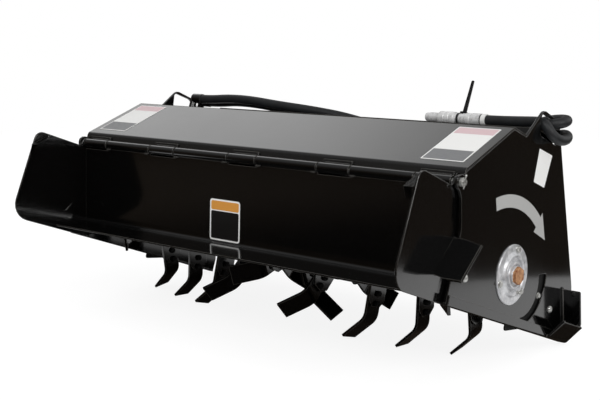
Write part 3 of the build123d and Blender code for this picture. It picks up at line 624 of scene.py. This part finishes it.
# the hinge rod's ends: a washer, and a linch pin across the rod with its ring's lug
hingeEnd = {"washer": (12, 2), "from": 6, "pin": (1.8, 34), "pinUp": 4, "lug": (3, 2.5)}
bm = bmesh.new()
for side, sign in ((rightSide, 1), (leftSide, -1)):
    spot = side @ Matrix.Translation((sign * body["hinge"][0], body["hinge"][1], hingeEnd["from"]))
    radius, height = hingeEnd["washer"]
    addTurned(bm, spot, radius, radius, height, 20)
    radius, length = hingeEnd["pin"]
    pinEnd = spot @ Matrix.Translation((0, -length / 2, hingeEnd["pinUp"]))
    addTurned(bm, pinEnd @ Matrix.Rotation(-math.pi / 2, 4, "X"), radius, radius, length, 10)
    addDome(bm, pinEnd @ Matrix.Translation((0, length, 0)), *hingeEnd["lug"])
addPiece("hinge_washers", bm, "frame", [platedZinc])

# every tine is held by two bolts, with their nuts on the flange's other side
reel = {"flanges": 9, "inset": 112, "phase": (8, -3, -15, -48, -72, -48, -15, -3, 8), "perFlange": 4,
        "bolts": (118, 148), "tineFace": 12, "flangeFace": 4, "head": (10, 9.2, 8)}
pitch = 2 * (body["half"] - reel["inset"]) / (reel["flanges"] - 1)
aboutAxis = Matrix.Translation(rotorAxis) @ Matrix.Scale(millimetre, 4)
bm = bmesh.new()
for flange, phase in enumerate(reel["phase"]):
    x = body["half"] - reel["inset"] - flange * pitch
    for index in range(reel["perFlange"]):
        sign = -1 if index % 2 == 0 else 1
        turn = Matrix.Rotation(math.radians(phase + index * 360 / reel["perFlange"]), 4, "X")
        for reach in reel["bolts"]:
            for direction, stand in ((sign, reel["tineFace"]), (-sign, reel["flangeFace"])):
                spot = aboutAxis @ Matrix.Translation((x, 0, 0)) @ turn
                spot = spot @ Matrix.Translation((direction * stand, 0, -reach))
                addTurned(bm, spot @ Matrix.Rotation(direction * math.pi / 2, 4, "Y"), *reel["head"], 6)
addPiece("tine_bolts", bm, "rotor", [oxideSteelAndSlotShade])

# chain case: cover screws round its rim, a level plug and a filler cap
chainCase = {"depth": 70, "top": (44, 330), "screw": (7, 6), "low": (88, (0, -45, -90, -135, -180)),
             "high": (50, (0, 60, 120, 180)), "plugAhead": -40, "plug": (11, 8), "fillerShare": 0.6, "filler": (9, 8)}
bm = bmesh.new()
centres = math.hypot(*chainCase["top"])
lean = math.atan2(*chainCase["top"])
onCase = leftSide @ Matrix.Translation((0, 0, chainCase["depth"])) @ Matrix.Rotation(lean, 4, "Z")
for (radius, angles), ahead in ((chainCase["low"], 0), (chainCase["high"], centres)):
    for degrees in angles:
        addBolt(bm, onCase @ onCircle(radius, degrees, 0, ahead), *chainCase["screw"])
addBolt(bm, onCase @ Matrix.Translation((0, chainCase["plugAhead"], 0)), *chainCase["plug"])
addBolt(bm, onCase @ Matrix.Translation((0, centres * chainCase["fillerShare"], 0)), *chainCase["filler"])
addPiece("chain_case_screws", bm, "frame", [platedZinc])
print("fasteners done")

# welds: the door stops on the wings, the hinge tabs under the hood and on the door's upper edge
weld = {"stopTop": (-300, 34), "stopBottom": (-358, -66), "wing": 717, "stopBead": 6, "tabs": (-653, -337, 0, 337, 653),
        "tabHalf": 40, "hoodBead": (-343, 184, 3.5), "gap": 59, "doorBead": (-354, 152, 3.5), "doorRun": 16}
onDoor = bmesh.new()
onFrame = bmesh.new()
for sign in (1, -1):
    side = sign * weld["wing"]
    addBead(onDoor, toWorld, (side, *weld["stopTop"]), (side, *weld["stopBottom"]), weld["stopBead"])
for x in weld["tabs"]:
    y, z, radius = weld["hoodBead"]
    addBead(onFrame, toWorld, (x - weld["tabHalf"], y, z), (x + weld["tabHalf"], y, z), radius)
    y, z, radius = weld["doorBead"]
    for sign in (1, -1):
        start = x + sign * weld["gap"]
        if abs(start) < weld["tabs"][-1]:
            addBead(onDoor, toWorld, (start, y, z), (start + sign * weld["doorRun"], y, z), radius)
addPiece("door_welds", onDoor, "door", [plateEnamel])
addPiece("hinge_welds", onFrame, "frame", [plateEnamel])
print("welds done")

# studio: white to the camera; what shines also sees a dim warm room, a dull ceiling and two soft windows, and on the
# floor a dark cloth in front with pale sheets beside and behind it
studio = {"walls": ((0.15, (0.05, 0.036, 0.024, 1)), (0.7, (0.3, 0.3, 0.3, 1))), "soft": 0.6}
windows = ({"towards": (-0.748, 0.45, 0.488), "rim": 0.915, "core": 0.99, "sill": (0.38, 0.44), "glow": 1.2},
           {"towards": (0.55, 0.8, 0.24), "rim": 0.75, "core": 0.9, "sill": (0.03, 0.09), "glow": 0.9})
world = bpy.data.worlds.new("studio")
scene.world = world
world.use_nodes = True
tree = world.node_tree
tree.nodes.clear()
direction = addNode(tree, "ShaderNodeTexCoord").outputs["Generated"]
height = addNode(tree, "ShaderNodeSeparateXYZ", Vector=direction).outputs["Z"]
ramp = addNode(tree, "ShaderNodeValToRGB", Fac=height)
for element, (position, colour) in zip(ramp.color_ramp.elements, studio["walls"]):
    element.position = position
    element.color = colour
room = ramp.outputs["Color"]
for window in windows:
    towards = addNode(tree, "ShaderNodeVectorMath", {"operation": "DOT_PRODUCT"}, i0=direction, i1=window["towards"])
    spread = addNode(tree, "ShaderNodeMapRange", Value=towards.outputs["Value"], i1=window["rim"], i2=window["core"])
    sill = addNode(tree, "ShaderNodeMapRange", Value=height, i1=window["sill"][0], i2=window["sill"][1])
    glow = addNode(tree, "ShaderNodeMath", {"operation": "MULTIPLY"}, i0=spread.outputs["Result"],
                   i1=sill.outputs["Result"])
    room = addNode(tree, "ShaderNodeMix", {"data_type": "RGBA"}, Factor=glow.outputs[0], i6=room,
                   i7=(window["glow"], window["glow"], window["glow"], 1)).outputs[2]
rays = addNode(tree, "ShaderNodeLightPath").outputs
shine = addNode(tree, "ShaderNodeBackground", Color=room, Strength=1.0).outputs["Background"]
soft = addNode(tree, "ShaderNodeBackground", Color=(1, 1, 1, 1), Strength=studio["soft"]).outputs["Background"]
white = addNode(tree, "ShaderNodeBackground", Color=(1, 1, 1, 1), Strength=1.0).outputs["Background"]
lit = addNode(tree, "ShaderNodeMixShader", i0=rays["Is Glossy Ray"], i1=soft, i2=shine).outputs["Shader"]
through = addNode(tree, "ShaderNodeMath", {"operation": "MAXIMUM"}, i0=rays["Is Camera Ray"],
                  i1=rays["Is Transmission Ray"]).outputs[0]
mix = addNode(tree, "ShaderNodeMixShader", i0=through, i1=lit, i2=white)
addNode(tree, "ShaderNodeOutputWorld", Surface=mix.outputs["Shader"])

# the floor: sheets begin and end softly between two distances in metres, and the cloth's shade changes across it
pale = {"half": 6, "shade": 0.88, "shadow": 0.22, "matt": 0.8, "sheet": 0.85, "reach": (1.63, 1.58),
        "right": (0.8, 0.82), "left": (-0.82, -0.86), "front": (-1.0, -0.9), "back": (0.5, 0.54), "clothHalf": 3.0,
        "clothTint": (1, 0.78, 0.6), "cloth": ((-3.0, 0.09), (-1.4, 0.008), (-0.4, 0.008), (1.4, 0.04))}
floorMaterial, tree = newMaterial("paleFloor")
where = place(tree)
away = addNode(tree, "ShaderNodeVectorMath", {"operation": "LENGTH"}, i0=where).outputs["Value"]
floorX, floorY = addNode(tree, "ShaderNodeSeparateXYZ", Vector=where).outputs[:2]
inReach, right, left, front, back = (
    addNode(tree, "ShaderNodeMapRange", Value=value, i1=pale[name][0], i2=pale[name][1]).outputs["Result"]
    for name, value in (("reach", away), ("right", floorX), ("left", floorX), ("front", floorY), ("back", floorY)))
sheets = addNode(tree, "ShaderNodeMath", {"operation": "SUBTRACT"}, i0=back, i1=right).outputs[0]
for first, second in ((left, front), (inReach, right)):
    both = addNode(tree, "ShaderNodeMath", {"operation": "MULTIPLY"}, i0=first, i1=second).outputs[0]
    sheets = addNode(tree, "ShaderNodeMath", {"operation": "MAXIMUM"}, i0=both, i1=sheets).outputs[0]
across = addNode(tree, "ShaderNodeMapRange", Value=floorX, i1=-pale["clothHalf"], i2=pale["clothHalf"])
cloth = addNode(tree, "ShaderNodeValToRGB", Fac=across.outputs["Result"])
stops = cloth.color_ramp.elements
for i, (x, shade) in enumerate(pale["cloth"]):
    stop = stops[i] if i < 2 else stops.new(1)
    stop.position = (x + pale["clothHalf"]) / (2 * pale["clothHalf"])
    stop.color = (*(shade * tint for tint in pale["clothTint"]), 1)
paper = addNode(tree, "ShaderNodeMix", {"data_type": "RGBA"}, Factor=sheets, i6=cloth.outputs["Color"],
                i7=(*[pale["sheet"]] * 3, 1))
rays = addNode(tree, "ShaderNodeLightPath").outputs
matt = addNode(tree, "ShaderNodeBsdfDiffuse", Color=(*[pale["matt"]] * 3, 1)).outputs["BSDF"]
glowing = addNode(tree, "ShaderNodeEmission", Color=paper.outputs[2], Strength=1.0).outputs["Emission"]
mirrored = addNode(tree, "ShaderNodeMixShader", i0=rays["Is Glossy Ray"], i1=matt, i2=glowing).outputs["Shader"]
faint = addNode(tree, "ShaderNodeBsdfDiffuse", Color=(*[pale["shadow"]] * 3, 1)).outputs["BSDF"]
plain = addNode(tree, "ShaderNodeEmission", Color=(1, 1, 1, 1), Strength=pale["shade"]).outputs["Emission"]
bright = addNode(tree, "ShaderNodeAddShader", i0=plain, i1=faint).outputs["Shader"]
mix = addNode(tree, "ShaderNodeMixShader", i0=rays["Is Camera Ray"], i1=mirrored, i2=bright)
addNode(tree, "ShaderNodeOutputMaterial", Surface=mix.outputs["Shader"])
floorMesh = bpy.data.meshes.new("studioFloor")
bm = bmesh.new()
bmesh.ops.create_grid(bm, x_segments=1, y_segments=1, size=pale["half"])
bm.to_mesh(floorMesh)
bm.free()
floorMesh.materials.append(floorMaterial)
studioFloor = bpy.data.objects.new("studioFloor", floorMesh)
scene.collection.objects.link(studioFloor)

lamps = {
    "keyLamp": {"at": (1.4, -3.4, 3.2), "size": 1.6, "power": 45},
    "sideLamp": {"at": (4.0, -0.9, 2.4), "size": 1.4, "power": 45},
}
for name, lamp in lamps.items():
    data = bpy.data.lights.new(name, "AREA")
    data.size = lamp["size"]
    data.energy = lamp["power"]
    light = bpy.data.objects.new(name, data)
    light.location = lamp["at"]
    light.rotation_euler = (rotorAxis - light.location).to_track_quat("-Z", "Y").to_euler()
    scene.collection.objects.link(light)
scene.view_settings.view_transform = "Standard"
print("studio done")
